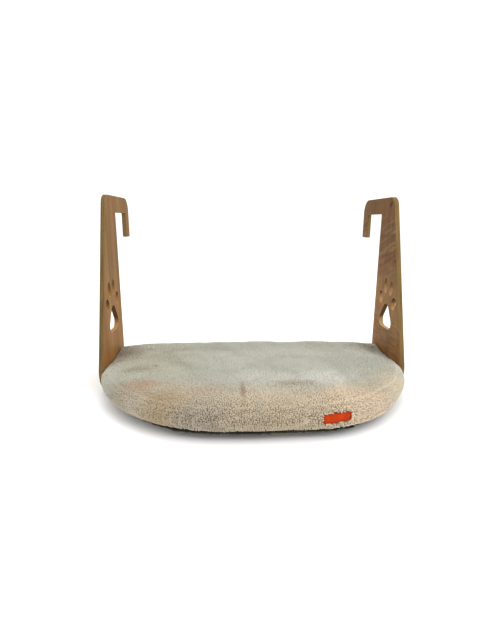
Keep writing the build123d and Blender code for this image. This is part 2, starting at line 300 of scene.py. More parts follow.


# soft patches in the plush's colour, partly its own tones and partly painted light, lighter at the right
# where the key light falls and darker at the left, with painted shade beside the brackets at the back and
# along the crease: middle x and y, half width and half depth in mm, tint and strength
PLUSH_PATCHES_AND_PAINTED_LIGHT = (
    (18, -20, 230, 80, (192, 193, 178), 0.7),
    (-60, 62, 190, 40, (178, 178, 160), 0.5),
    (-170, -20, 70, 70, (178, 172, 149), 0.7),
    # painted shade beside the left bracket at the back
    (-232, 34, 34, 34, (150, 128, 110), 0.65),
    (-197, -58, 20, 14, (146, 136, 106), 0.55),
    (-22, -98, 60, 26, (200, 200, 187), 0.6),
    (103, -105, 54, 34, (212, 211, 198), 0.8),
    (-184, -122, 58, 21, (192, 166, 137), 0.9),
    (-140, -180, 36, 52, (184, 164, 130), 0.85),
    (-105, -175, 26, 44, (196, 176, 146), 0.6),
    (-84, -200, 50, 28, (180, 170, 156), 0.75),
    (-74, -146, 26, 20, (186, 168, 148), 0.6),
    # painted shade along the crease
    (-25, -152, 4, 40, (146, 116, 88), 0.65),
    (56, -124, 28, 12, (164, 150, 126), 0.5),
    (30, -196, 95, 50, (213, 196, 170), 0.7),
    (150, -172, 66, 44, (223, 203, 174), 0.85),
    (213, -114, 36, 50, (214, 198, 168), 0.7),
    # painted shade beside the right bracket at the back
    (226, 40, 30, 40, (140, 132, 110), 0.6),
    (-220, -122, 36, 44, (176, 172, 152), 0.7),
    (-164, -42, 3.5, 3, (118, 108, 86), 0.6),
    (-187, 42, 4, 3, (124, 112, 90), 0.6),
)
# a patch's size along Z, so large that height makes no difference
ANY_HEIGHT = 1000
# how much lighter the fibres are than the shaded pile they make up
FIBRE_GAIN = (1.11, 1.12, 1.18, 1)
# the front's worn zone: its middle, then how far it reaches to the sides and ahead, and its slant
WORN_MIDDLE = -10 * MM
WORN_SIDES = mm(160, 100)
WORN_AHEAD = mm(136, 188)
WORN_SLANT = 0.05


def plush_colour(tree):
    """Cream pile with patches that are partly painted light and shade, greyer at the back and warmer at the
    front.
    """
    forward = span(tree, axes_of(tree, place(tree))["Y"], -90 * MM, -180 * MM)
    colour = mix(tree, forward, srgb(188, 185, 167), srgb(199, 188, 165))
    lumps = maths(tree, "SUBTRACT", even_noise(tree, 30 * MM, detail=5, rough=0.65), 0.5)
    wander = maths(tree, "MULTIPLY", lumps, 2.0)
    for x, y, half_width, half_depth, tint, strength in PLUSH_PATCHES_AND_PAINTED_LIGHT:
        spot = place(tree, (half_width * MM, half_depth * MM, ANY_HEIGHT), centre=(x * MM, y * MM, 0))
        blurred = maths(tree, "ADD", length_of(tree, spot), wander)
        amount = maths(tree, "MULTIPLY", span(tree, blurred, 1.5, 0.2), strength)
        colour = mix(tree, amount, colour, srgb(*tint))
    clouds = even_noise(tree, 16 * MM, detail=4, rough=0.65)
    colour = shade(tree, colour, clouds, 0.30, 0.94, 0.70, 1.04)
    return tinted(tree, colour, FIBRE_GAIN)


def knobbly_mask(tree):
    """1 in the front's worn zone, where the pile has knobs with painted shade in the gaps between them, and 0
    where it lies smooth.
    """
    spot = axes_of(tree, place(tree))
    sideways = maths(tree, "ABSOLUTE", maths(tree, "SUBTRACT", spot["X"], WORN_MIDDLE))
    ahead = maths(tree, "SUBTRACT", maths(tree, "MULTIPLY", spot["X"], WORN_SLANT), spot["Y"])
    return product(tree, span(tree, sideways, *WORN_SIDES), span(tree, ahead, *WORN_AHEAD))


def plush_material():
    """The cloth under the pile: the pile's colour with painted shade, a little on top and deep between the
    knobs of the worn front, with a knitted bump.
    """
    material, tree = start_material("plush ground")
    # painted shade between the curls: light on top, deep in the worn front
    depth = mix(tree, knobbly_mask(tree), (0.88, 0.86, 0.81, 1), (0.50, 0.455, 0.37, 1))
    colour = tinted(tree, plush_colour(tree), depth)
    bump = (even_noise(tree, 1.1 * MM, rough=0.7), 0.8, 0.8 * MM)
    return finish_material(material, bump, Base_Color=colour, Roughness=0.95, Specular_IOR_Level=0.1)


def pile_material():
    """The pile's own curls: painted shade towards the root, painted light at the tips of the front's knobs,
    and each curl a little different.
    """
    material, tree = start_material("plush pile")
    tip = make_node(tree, "Attribute", attribute_name="tip").outputs["Fac"]
    own = make_node(tree, "Attribute", attribute_name="own_shade").outputs["Fac"]
    # painted shade at the curls' roots, and on the worn front's knobs painted light at their tips
    smooth = ramp(tree, tip, [(0, (0.80, 0.76, 0.70, 1)), (0.6, (0.96, 0.95, 0.93, 1)), (1, grey(1.03))])
    root, middle, end = (0.44, 0.395, 0.31, 1), (0.90, 0.89, 0.83, 1), (1.22, 1.225, 1.18, 1)
    knobbly = ramp(tree, tip, [(0, root), (0.55, middle), (1, end)])
    colour = tinted(tree, plush_colour(tree), mix(tree, knobbly_mask(tree), smooth, knobbly))
    own_shade = ramp(tree, own, [(0, (0.62, 0.57, 0.50, 1)), (0.5, grey(1)), (1, grey(1.16))])
    colour = tinted(tree, colour, own_shade)
    bump = (even_noise(tree, 0.4 * MM, detail=2), 0.6, 0.2 * MM)
    return finish_material(
        material, bump, Base_Color=colour, Roughness=0.92, Specular_IOR_Level=0.12, Sheen_Weight=0.1
    )


# the wave texture's scale that makes its bands one unit apart
ONE_UNIT_WAVES = 0.314


def woven_material(name, dark, light, thread):
    """A plain weave: two sets of threads, thread apart, that pass over and under each other in turn."""
    material, tree = start_material(name)
    crossings = []
    for turn in (0, 90):
        vector = place(tree, (thread, thread, thread), (0, turn, 0))
        inputs = {"Vector": vector, "Scale": ONE_UNIT_WAVES, "Distortion": 0.3}
        crossings.append(make_node(tree, "TexWave", inputs, bands_direction="X").outputs["Fac"])
    weave = maths(tree, "MAXIMUM", *crossings)
    colour = ramp(tree, weave, [(0.2, dark), (0.9, light)])
    colour = shade(tree, colour, even_noise(tree, 7 * MM, detail=4), 0.30, 0.82, 0.70, 1.10)
    bump = (weave, 0.7, 0.25 * MM)
    return finish_material(material, bump, Base_Color=colour, Roughness=0.85, Specular_IOR_Level=0.12)


def thread_material(name, dark, light):
    """Twisted sewing thread."""
    material, tree = start_material(name)
    twist = even_noise(tree, 0.35 * MM, detail=2)
    colour = ramp(tree, twist, [(0.35, dark), (0.65, light)])
    return finish_material(material, (twist, 0.6, 0.1 * MM), Base_Color=colour, Roughness=0.6)


def metal_material(name, colour, rough, scratch_axis):
    """Plated steel with fine brushed lines and small stains."""
    material, tree = start_material(name)
    sizes = [0.4 * MM] * 3
    sizes[scratch_axis] = 11 * MM
    lines = noise(tree, sizes, detail=2)
    tint = shade(tree, colour, even_noise(tree, 2.4 * MM, detail=4), 0.30, 0.78, 0.65, 1.05)
    roughness = span(tree, lines, 0.3, 0.7, rough - 0.08, rough + 0.1)
    bump = (lines, 0.25, 0.05 * MM)
    return finish_material(material, bump, Base_Color=tint, Metallic=1.0, Roughness=roughness)


def plastic_material(name, dark, light):
    """Slightly glossy nylon."""
    material, tree = start_material(name)
    tone = even_noise(tree, 1.7 * MM)
    colour = ramp(tree, tone, [(0.3, dark), (0.7, light)])
    roughness = span(tree, tone, 0.3, 0.7, 0.34, 0.5)
    return finish_material(material, (tone, 0.2, 0.05 * MM), Base_Color=colour, Roughness=roughness)


def filling_material():
    """Loose white polyester fibre."""
    material, tree = start_material("fibre filling")
    tufts = even_noise(tree, 6 * MM, detail=6, rough=0.7)
    colour = ramp(tree, tufts, [(0.3, srgb(222, 220, 212)), (0.7, srgb(246, 245, 240))])
    bump = (tufts, 0.8, 2 * MM)
    return finish_material(material, bump, Base_Color=colour, Roughness=0.95, Sheen_Weight=0.3)


def floor_material():
    material, tree = start_material("pale floor")
    colour = ramp(tree, even_noise(tree, 0.4, detail=2), [(0.3, grey(0.93)), (0.7, grey(0.95))])
    return finish_material(material, Base_Color=colour, Roughness=0.8)


# Mesh helpers

def add_object(name, data):
    """A new object of data in the scene."""
    made = bpy.data.objects.new(name, data)
    bpy.context.scene.collection.objects.link(made)
    return made


def shade_smooth(mesh, smooth=True):
    mesh.polygons.foreach_set("use_smooth", [smooth] * len(mesh.polygons))


def mesh_object(name, points, faces, material, smooth=True):
    """A new object from points in the row frame and faces of any number of corners, all turned outward."""
    mesh = bpy.data.meshes.new(name)
    mesh.from_pydata([tuple(p) for p in points], [], [tuple(f) for f in faces])
    turned = bmesh.new()
    turned.from_mesh(mesh)
    bmesh.ops.recalc_face_normals(turned, faces=turned.faces)
    turned.to_mesh(mesh)
    turned.free()
    shade_smooth(mesh, smooth)
    mesh.materials.append(material)
    mesh.update()
    return add_object(name, mesh)


def ring_faces(rows, count, looped=False):
    """Quads between rows of count points each, and also from the last row to the first if looped."""
    found = []
    for row in range(rows if looped else rows - 1):
        base, following = row * count, (row + 1) % rows * count
        for i in range(count):
            j = (i + 1) % count
            found.append((base + j, base + i, following + i, following + j))
    return found


def end_faces(rows, count):
    """The two faces that close the first and the last of some rows of count points."""
    total = rows * count
    return [tuple(range(count)), tuple(range(total - 1, total - count - 1, -1))]


def tube_mesh(path, radius, sides, closed=False):
    """Points and faces of a tube along path, with its ends closed or joined."""
    path = np.asarray(path, float)
    if closed:
        ahead = np.roll(path, -1, axis=0) - np.roll(path, 1, axis=0)
    else:
        ahead = np.gradient(path, axis=0)
    ahead = unit(ahead)
    start = np.cross(ahead, [0.0, 0.0, 1.0])
    weak = np.linalg.norm(start, axis=1) < 0.2
    start[weak] = np.cross(ahead[weak], [0.0, 1.0, 0.0])
    start = unit(start)
    other = np.cross(start, ahead)
    angles = np.arange(sides) * 2 * math.pi / sides
    radius = np.broadcast_to(radius, len(path))[:, None, None]
    rings = path[:, None] + radius * (
        np.cos(angles)[None, :, None] * start[:, None] + np.sin(angles)[None, :, None] * other[:, None]
    )
    faces = ring_faces(len(path), sides, looped=closed)
    if not closed:
        faces += end_faces(len(path), sides)
    return rings.reshape(-1, 3), faces


def join_meshes(parts):
    """Several (points, faces) as one."""
    points, faces, base = [], [], 0
    for some_points, some_faces in parts:
        points.append(np.asarray(some_points))
        faces += [tuple(base + i for i in face) for face in some_faces]
        base += len(some_points)
    return np.vstack(points), faces


def read_vectors(items, field):
    flat = np.empty(len(items) * 3)
    items.foreach_get(field, flat)
    return flat.reshape(-1, 3)


def read_points(target):
    return read_vectors(target.data.vertices, "co")


def read_normals(target):
    return read_vectors(target.data.vertex_normals, "vector")


def write_points(target, points):
    target.data.vertices.foreach_set("co", points.ravel())
    target.data.update()


def apply_modifiers(target):
    """The mesh as its modifiers leave it becomes the object's own."""
    graph = bpy.context.evaluated_depsgraph_get()
    old = target.data
    target.data = bpy.data.meshes.new_from_object(target.evaluated_get(graph))
    target.modifiers.clear()
    bpy.data.meshes.remove(old)


def modify(target, kind, **settings):
    """The mesh as one modifier with these settings leaves it becomes the object's own."""
    modifier = target.modifiers.new(kind, kind)
    for name, value in settings.items():
        setattr(modifier, name, value)
    apply_modifiers(target)


def smooth_step(value, low, high):
    """0 at low and 1 at high, whichever of the two is the larger."""
    t = np.clip((value - low) / (high - low), 0, 1)
    return t * t * (3 - 2 * t)


def bell(value, middle, width):
    return np.exp(-(((value - middle) / width) ** 2))


def wave_field(points, wavelength, seed, count=24):
    """A smooth random field from about -1 to 1, as a sum of plane waves about one wavelength long."""
    source = np.random.default_rng(seed)
    total = np.zeros(len(points))
    for _ in range(count):
        direction = source.normal(size=3)
        direction /= np.linalg.norm(direction)
        pitch = 2 * math.pi / (wavelength * source.uniform(0.7, 1.6))
        total += np.sin(points @ direction * pitch + source.uniform(0, 2 * math.pi))
    return total / math.sqrt(count / 2) / 2


def look_up(at, runs, places):
    """The two coordinates that places, known at runs, have at other runs."""
    return np.array([np.interp(at, runs, places[:, i]) for i in (0, 1)]).T


def unit(vectors):
    """The same directions, one long."""
    return vectors / np.maximum(np.linalg.norm(vectors, axis=1), 1e-9)[:, None]


# The cushion's form

FRONT_HALF_WIDTH = 258.6 * MM
FRONT_STRAIGHT = back_plane - 92 * MM
FRONT_REACH = back_plane - 303 * MM
SHOULDER_RADIUS = 209 * MM
BACK_CORNER = 16 * MM
PILE_DEPTH = 2.4 * MM
# how far the brackets' front edges lean back over their whole height
BRACKET_LEAN = 96 * MM
# how far the plush bulges in front of the brackets, and the stretch ahead of their edges where it comes free
FREE_BULGE = 12 * MM
FREE_STRETCH = mm(-3, 12)
# how far the form, its cloth, its pile and its underside stay from the brackets
FORM_GAP, CLOTH_GAP, PILE_GAP, PANEL_GAP = mm(1.5, 1.2, 0.35, 7)
# how far the lower edge sags where the front hangs over the board, and how much fuller it is at the right
FRONT_SAG = 3 * MM
FULL_SHOULDER = 9.5 * MM
SHOULDER_RISE, SHOULDER_FALL = mm(40, 130), mm(218, 165)
# how far the floor's rings lie inside its rim, and the crown's rings inside the side, in millimetres
FLOOR_RINGS = (160, 90, 40, 12)
CROWN_RINGS = (62, 95, 130, 145)
# height above the cushion's floor, then how far the side draws in, in millimetres
PROFILE = ((0, 4.6), (1.5, 2.9), (4, 1.4), (8, 0.5), (12, 0), (16, 0.1), (20, 0.9), (24, 2.6), (27.5, 5.2),
           (30.5, 9), (32.8, 15), (34.4, 25), (35.3, 40))
PROFILE_HEIGHTS = [height * MM for height, draw in PROFILE]
PROFILE_DRAWS = [draw * MM for height, draw in PROFILE]


def d_outline(count):
    """Points round the cushion's widest outline, from the back's middle to the right, and their ways out."""
    wide, back = FRONT_HALF_WIDTH, cover_high.y
    depth = FRONT_STRAIGHT - FRONT_REACH
    radius = (wide**2 + depth**2 - 2 * wide * SHOULDER_RADIUS) / (2 * (depth - SHOULDER_RADIUS))
    corner = np.array([wide - BACK_CORNER, back - BACK_CORNER])
    shoulder = np.array([wide - SHOULDER_RADIUS, FRONT_STRAIGHT])
    middle = np.array([0, FRONT_REACH + radius])
    joint = math.atan2(shoulder[0], middle[1] - shoulder[1])

    def arc(centre, size, start, end, steps, endpoint=False):
        angles = np.linspace(start, end, steps, endpoint=endpoint)
        outs = [np.array([math.cos(angle), math.sin(angle)]) for angle in angles]
        return [(centre + size * out, out) for out in outs]

    half = [(np.array([x, back]), np.array([0.0, 1.0])) for x in np.linspace(0, corner[0], 60, False)]
    half += arc(corner, BACK_CORNER, math.pi / 2, 0, 12)
    side = np.linspace(corner[1], FRONT_STRAIGHT, 20, False)
    half += [(np.array([wide, y]), np.array([1.0, 0.0])) for y in side]
    half += arc(shoulder, SHOULDER_RADIUS, 0, joint - math.pi / 2, 60)
    half += arc(middle, radius, joint - math.pi / 2, -math.pi / 2, 40, True)
    points, outs = [np.array(values) for values in zip(*half)]
    points = np.vstack([points, points[-2::-1] * [-1, 1]])
    outs = np.vstack([outs, outs[-2::-1] * [-1, 1]])
    lengths = np.r_[0, np.cumsum(np.linalg.norm(np.diff(points, axis=0), axis=1))]
    wanted = np.linspace(0, lengths[-1], count, endpoint=False)
    return look_up(wanted, lengths, points), unit(look_up(wanted, lengths, outs))


def bracket_front(height):
    """Where the brackets' front edges are at a height."""
    return bracket_low.y + height / bracket_high.z * BRACKET_LEAN


def squeeze(points, gap):
    """Points pressed in between the brackets, and free to bulge in front of them."""
    pressed = np.array(points)
    free = smooth_step(bracket_front(points[:, 2]) - points[:, 1], *FREE_STRETCH)
    limit = inner_face - gap + free * FREE_BULGE
    pressed[:, 0] = np.clip(points[:, 0], -limit, limit)
    return pressed


def free_front(x, y):
    """How freely places hang in front of the board, up to 1 at the front edge, and which way is out there."""
    outline, outs = d_outline(1200)
    front = outline[:, 1] < FRONT_STRAIGHT
    order = np.argsort(outline[front, 0])
    edge, out = outline[front][order], outs[front][order]
    aim = look_up(x, edge[:, 0], out)
    inside = (np.interp(x, edge[:, 0], edge[:, 1]) - y) * aim[:, 1]
    free = smooth_step(inside, 24 * MM, 2 * MM)
    return free * smooth_step(np.abs(x), 235 * MM, 185 * MM), aim


def sag(points):
    """The lower edge's points moved down where the front hangs free, and out at its fuller right shoulder."""
    x, y, z = points.T
    free, aim = free_front(x, y)
    height = z - FLOOR
    moved = np.array(points)
    moved[:, 2] -= free * smooth_step(height, 9 * MM, 1 * MM) * FRONT_SAG
    fuller = smooth_step(x, *SHOULDER_RISE) * smooth_step(x, *SHOULDER_FALL)
    fuller *= smooth_step(height, 12 * MM, 2 * MM) * (0.5 + 0.5 * smooth_step(height, 0, 1 * MM))
    moved[:, :2] += aim * (free * fuller * FULL_SHOULDER)[:, None]
    return moved


def cushion_form(name, skin, material):
    """The cushion's closed form, skin inside its surface, as rings from the floor's middle to the crown."""
    outline, outs = d_outline(260)
    count = len(outline)
    centre = np.array([0.0, (cover_low.y + cover_high.y) / 2])
    drawn_most = 30 * MM
    shrink_reach = 148 * MM
    lift = 1 - 2 * skin / (CROWN - FLOOR)
    rows = [(FLOOR + skin, PROFILE[0][1] * MM + inner * MM + skin) for inner in FLOOR_RINGS]
    rows += [(FLOOR + skin + height * MM * lift, draw * MM + skin) for height, draw in PROFILE]
    rows += [(CROWN - skin, draw * MM + skin) for draw in CROWN_RINGS]
    points = []
    for height, draw in rows:
        ring = outline - outs * min(draw, drawn_most)
        if draw > drawn_most:
            ring = centre + (ring - centre) * (1 - (draw - drawn_most) / shrink_reach)
        points += [(x, y, height) for x, y in ring]
    faces = ring_faces(len(rows), count)
    bottom, top = len(points), len(points) + 1
    last = (len(rows) - 1) * count
    points += [(*centre, rows[0][0]), (*centre, rows[-1][0])]
    faces += [(i, (i + 1) % count, bottom) for i in range(count)]
    faces += [(last + (i + 1) % count, last + i, top) for i in range(count)]
    made = mesh_object(name, points, faces, material)
    write_points(made, squeeze(read_points(made), FORM_GAP + skin))
    return made


def puff(target, frames, pressure, cap):
    """The cover as sewn cloth, blown up by its filling. No point moves further than cap."""
    scene = bpy.context.scene
    start = read_points(target)
    modifier = target.modifiers.new("puff", "CLOTH")
    cloth = modifier.settings
    cloth.quality = 5
    cloth.use_pressure = True
    cloth.uniform_pressure_force = pressure
    cloth.effector_weights.gravity = 0
    cloth.tension_stiffness = 12
    cloth.compression_stiffness = 8
    cloth.shear_stiffness = 5
    cloth.bending_stiffness = 0.4
    cloth.shrink_min = -0.012
    modifier.point_cache.frame_start = 1
    modifier.point_cache.frame_end = frames
    for number in range(1, frames + 1):
        scene.frame_set(number)
    apply_modifiers(target)
    scene.frame_set(1)
    step = read_points(target) - start
    far = np.linalg.norm(step, axis=1)
    share = np.minimum(1, cap / np.maximum(far, 1e-9))
    write_points(target, start + step * share[:, None])


# how far ahead of the cushion's back the zip's channel can reach
ZIP_BAND_DEPTH = 25 * MM


def zip_band(points, reach, side, soft):
    """1 in the band along the back where the zip lies, falling to 0 over soft at its edges."""
    x, y, z = points.T
    inside = smooth_step(tape_high.x + side - np.abs(x), 0, soft)
    inside *= smooth_step(reach - np.abs(z - zip_middle), 0, soft)
    return inside * (y > cover_high.y - ZIP_BAND_DEPTH)


# the top's long waves and short ripples, each as wavelength, height and seed
WAVES = ((95 * MM, 1.3 * MM, 3), (38 * MM, 0.5 * MM, 11))
# how far the crest along the back is lifted, how much more at its swell and less at its dip, and its scallops
CREST_LIFT, CREST_SWELL, CREST_SCALLOPS = mm(5.6, 1.2, 0.7)
SCALLOP_LENGTH = 17 * MM
CORNER_DROOP = 5.5 * MM
# the crease in the front: its depth, width, place and slant
CREASE_DEPTH, CREASE_WIDTH = 1.8 * MM, 3.2 * MM
CREASE_X, CREASE_Y = -24 * MM, -140 * MM
CREASE_SLANT = 0.12
CREASE_FRONT, CREASE_BACK = mm(-182, -160), mm(-96, -122)


def settle(points):
    """The cushion as it lies: waves, a crest at the back, a crease, the zip's channel and a sagging front."""
    x, y, z = points.T
    flat = np.c_[x, y, np.zeros(len(x))]
    lift = sum(wave_field(flat, wavelength, seed) * height for wavelength, height, seed in WAVES)
    crest = CREST_LIFT + CREST_SWELL * (bell(x, -40 * MM, 90 * MM) - bell(x, 175 * MM, 38 * MM))
    crest += CREST_SCALLOPS * np.sin(x / SCALLOP_LENGTH + 1) * bell(x, -10 * MM, 150 * MM)
    lift += smooth_step(y, 30 * MM, 80 * MM) * crest
    lift -= smooth_step(np.abs(x), 195 * MM, 249 * MM) * smooth_step(y, -70 * MM, 60 * MM) * CORNER_DROOP
    crease = bell(x, CREASE_X + CREASE_SLANT * (y - CREASE_Y), CREASE_WIDTH)
    lift -= crease * smooth_step(y, *CREASE_FRONT) * smooth_step(y, *CREASE_BACK) * CREASE_DEPTH
    upper = smooth_step((z - FLOOR) / (CROWN - FLOOR), 0.45, 1)
    moved = np.array(points)
    moved[:, 2] = np.maximum(z + upper * lift, FLOOR + 0.1 * MM)
    band = zip_band(points, 9.5 * MM, 9 * MM, 4 * MM)
    behind = tape_low.y - 0.8 * MM
    moved[:, 1] = y + band * np.minimum(behind - y, 0)
    return sag(moved)


def make_cushion(material):
    """The stuffed plush cover under its pile."""
    cushion = cushion_form("plush_cushion", PILE_DEPTH, material)
    modify(cushion, "REMESH", mode="VOXEL", voxel_size=4.3 * MM)
    puff(cushion, frames=20, pressure=1.2, cap=1.6 * MM)
    modify(cushion, "SUBSURF", levels=1, render_levels=1)
    write_points(cushion, squeeze(settle(read_points(cushion)), CLOTH_GAP))
    shade_smooth(cushion.data)
    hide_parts("plush_cover")
    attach(cushion, "cushion")
    return cushion


def make_filling(material):
    """The fibre filling inside the cover, lumpy where its tufts press out."""
    filling = cushion_form("fibre_filling", PILE_DEPTH + 6 * MM, material)
    modify(filling, "REMESH", mode="VOXEL", voxel_size=7 * MM)
    modify(filling, "SUBSURF", levels=1, render_levels=1)
    points, normals = read_points(filling), read_normals(filling)
    points = points + normals * (wave_field(points, 26 * MM, 61) * 1.4 * MM)[:, None]
    band = zip_band(points, 12 * MM, 12 * MM, 5 * MM)
    points[:, 1] += band * np.minimum(tape_low.y - 6 * MM - points[:, 1], 0)
    write_points(filling, points)
    shade_smooth(filling.data)
    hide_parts("cushion_core")
    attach(filling, "cushion")


# The underside

# how far the cloth's edge lies inside the plush's widest outline, and how much further in at the sides
PANEL_INSET = 6.4 * MM
PANEL_SIDE_INSET = 6 * MM
# how far each ring of the cloth lies from its middle
PANEL_RING_SHARES = (1, 0.97, 0.9, 0.75, 0.55, 0.35, 0.15)
BINDING_RADIUS, BINDING_SWELL = 0.95 * MM, 0.3 * MM


def panel_outline(count, inset):
    """The underside's outline: just inside the plush, and further in at the sides."""
    outline, outs = d_outline(count)
    sides = smooth_step(np.abs(outline[:, 0]), 90 * MM, 200 * MM)
    ring = outline - outs * (inset + sides * PANEL_SIDE_INSET)[:, None]
    flat = np.c_[ring, np.full(count, panel_low.z)]
    return squeeze(flat, PANEL_GAP)[:, :2], outs


def make_underside(cloth, binding):
    """The dark cloth under the cushion, with the rolled edge where it is sewn to the plush."""
    count = 240
    ring = panel_outline(count, PANEL_INSET)[0]
    centre = ring.mean(axis=0)
    low, high = panel_low.z + 0.1 * MM, panel_high.z - 0.2 * MM
    points = []
    for height, shares in ((high, PANEL_RING_SHARES[::-1]), (low, PANEL_RING_SHARES)):
        for share in shares:
            flat = centre + (ring - centre) * share
            ripple = wave_field(np.c_[flat, np.zeros(count)], 60 * MM, 17) * 0.12 * MM * (share < 0.95)
            points.append(np.c_[flat, height + ripple])
    rows = len(points)
    faces = [face[::-1] for face in ring_faces(rows, count)] + end_faces(rows, count)
    panel = mesh_object("underside_cloth", sag(np.vstack(points)), faces, cloth)
    fine = 900
    edge, outs = panel_outline(fine, PANEL_INSET - 0.4 * MM)
    spots = np.c_[edge, np.zeros(fine)]
    swell = wave_field(spots, 16 * MM, 23)
    path = np.c_[
        edge + outs * (0.9 * MM * wave_field(spots, 11 * MM, 29))[:, None],
        np.full(fine, (panel_low.z + panel_high.z) / 2 + 0.35 * MM),
    ]
    points, faces = tube_mesh(path, BINDING_RADIUS + BINDING_SWELL * swell, 7, closed=True)
    points[:, 2] = np.clip(points[:, 2], panel_low.z + 0.05 * MM, None)
    rolled = mesh_object("underside_binding", sag(points), faces, binding)
    for piece in (panel, rolled):
        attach(piece, "cushion")
    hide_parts("underside_panel")


# The label

LABEL_WIDTH = 42 * MM
LABEL_HEIGHT = 14 * MM
LABEL_THICKNESS = 0.9 * MM
# how deep the label is sewn into the pile
LABEL_SINK = 1.3 * MM
LABEL_STITCH_PITCH, LABEL_STITCH_RADIUS = 1.3 * MM, 0.24 * MM
label_x = (label_low.x + label_high.x) / 2
label_z = (label_low.z + label_high.z) / 2


def label_frame():
    """The outline near the label: how far from the label's middle its points lie, the points, and out."""
    outline, outs = d_outline(2400)
    near = (np.abs(outline[:, 0] - label_x) < 60 * MM) & (outline[:, 1] < FRONT_STRAIGHT)
    order = np.argsort(outline[near, 0])
    outline, outs = outline[near][order], outs[near][order]
    run = np.r_[0, np.cumsum(np.linalg.norm(np.diff(outline, axis=0), axis=1))]
    return run - np.interp(label_x, outline[:, 0], run), outline, outs


def on_label(across, up, out):
    """Points of the row frame from places on the label, across and up from its middle and out of it."""
    run, outline, outs = label_frame()
    height = label_z + up
    slope = np.interp(height - FLOOR, PROFILE_HEIGHTS, PROFILE_DRAWS)
    base = look_up(across, run, outline) + look_up(across, run, outs) * (out - slope)[:, None]
    return np.c_[base, height]


def label_place(points):
    """Where points lie on the label: across it, up it, and whether they are at the front near it."""
    run, outline, outs = label_frame()
    across = np.interp(points[:, 0], outline[:, 0], run)
    at_front = (points[:, 1] < FRONT_STRAIGHT) & (np.abs(points[:, 0] - label_x) < 45 * MM)
    return across, points[:, 2] - label_z, at_front


def label_sewing():
    """Points and faces of the whip stitches that run over the label's edge all round."""
    half_width, half_height = LABEL_WIDTH / 2, LABEL_HEIGHT / 2
    reach = np.array([-1.7, -1.1, -0.4, 0.3, 0.7, 0.8]) * MM
    lift = np.array([-0.2, 0.2, 0.25, 0.15, -0.4, -1.2]) * MM - LABEL_SINK + LABEL_THICKNESS
    slant = np.linspace(-0.35, 0.35, len(reach)) * MM
    stitches = []
    for lengthwise, longer, shorter in ((True, half_width, half_height), (False, half_height, half_width)):
        for run in np.arange(-longer + 0.9 * MM, longer - 0.5 * MM, LABEL_STITCH_PITCH):
            for side in (-1, 1):
                off = side * (shorter + reach * chance.uniform(0.8, 1.15))
                on = run + slant + chance.uniform(-0.2, 0.2) * MM
                path = on_label(on, off, lift) if lengthwise else on_label(off, on, lift)
                stitches.append(tube_mesh(path, LABEL_STITCH_RADIUS, 5))
    return join_meshes(stitches)


def make_label(cloth, thread):
    """The bare woven label: two layers folded at its ends, its edges a little frayed, sewn down all round."""
    columns, rows = 64, 22
    grid_across, grid_up = np.meshgrid(np.linspace(-1, 1, columns), np.linspace(-1, 1, rows))
    across, up = grid_across.ravel(), grid_up.ravel()
    rim = np.maximum(np.abs(across) ** 10, np.abs(up) ** 8)
    frayed = np.c_[across * LABEL_WIDTH, up * LABEL_HEIGHT, np.zeros(len(up))]
    fray = wave_field(frayed, 3.5 * MM, 41) * 0.35 * MM
    puffed = wave_field(frayed, 13 * MM, 43) * 0.22 * MM
    sheet_up = up * LABEL_HEIGHT / 2 + fray * (np.abs(up) > 0.98) * np.sign(up)
    sheet_across = across * LABEL_WIDTH / 2 + 0.4 * fray * (np.abs(across) > 0.98)
    layers = []
    for out in (LABEL_THICKNESS, 0):
        depth = -LABEL_SINK + out * (1 - 0.6 * rim) + puffed - 0.12 * MM * rim
        layers.append(on_label(sheet_across, sheet_up, depth))
    size = columns * rows
    faces = []
    for row in range(rows - 1):
        for column in range(columns - 1):
            i = row * columns + column
            faces.append((i, i + 1, i + columns + 1, i + columns))
            faces.append(tuple(size + k for k in (i, i + columns, i + columns + 1, i + 1)))
    border = [*range(columns), *range(2 * columns - 1, size, columns)]
    border += [*range(size - 2, size - columns - 1, -1), *range(size - 2 * columns, 0, -columns)]
    faces += [(a, a + size, b + size, b) for a, b in zip(border, border[1:] + border[:1])]
    label = mesh_object("woven_label", np.vstack(layers), faces, cloth)
    sewing = mesh_object("label_stitches", *label_sewing(), thread)
    for piece in (label, sewing):
        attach(piece, "cushion")
    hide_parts("side_label")


# The zip

# how much of each tape is tucked in under the plush, and how far it sinks there
TAPE_TUCK, TAPE_TUCK_DEPTH = 4 * MM, 1.8 * MM
# where the tape's lengthwise ribs and the rows of its tuck lie, as shares of its height and of the tuck
TAPE_ROW_SHARES = (0, 0.06, 0.2, 0.4, 0.6, 0.8, 0.94, 1)
TUCK_ROW_SHARES = (0.3, 0.65, 1)
TAPE_RIBS, TAPE_RIB_DEPTH = 5, 0.08 * MM
TAPE_STITCH_PITCH, TAPE_STITCH_RADIUS, TAPE_STITCH_INSET = mm(2.8, 0.2, 1.6)
COIL_PITCH, COIL_WIRE_RADIUS = 1.9 * MM, 0.36 * MM
COIL_TURN_POINTS = 10


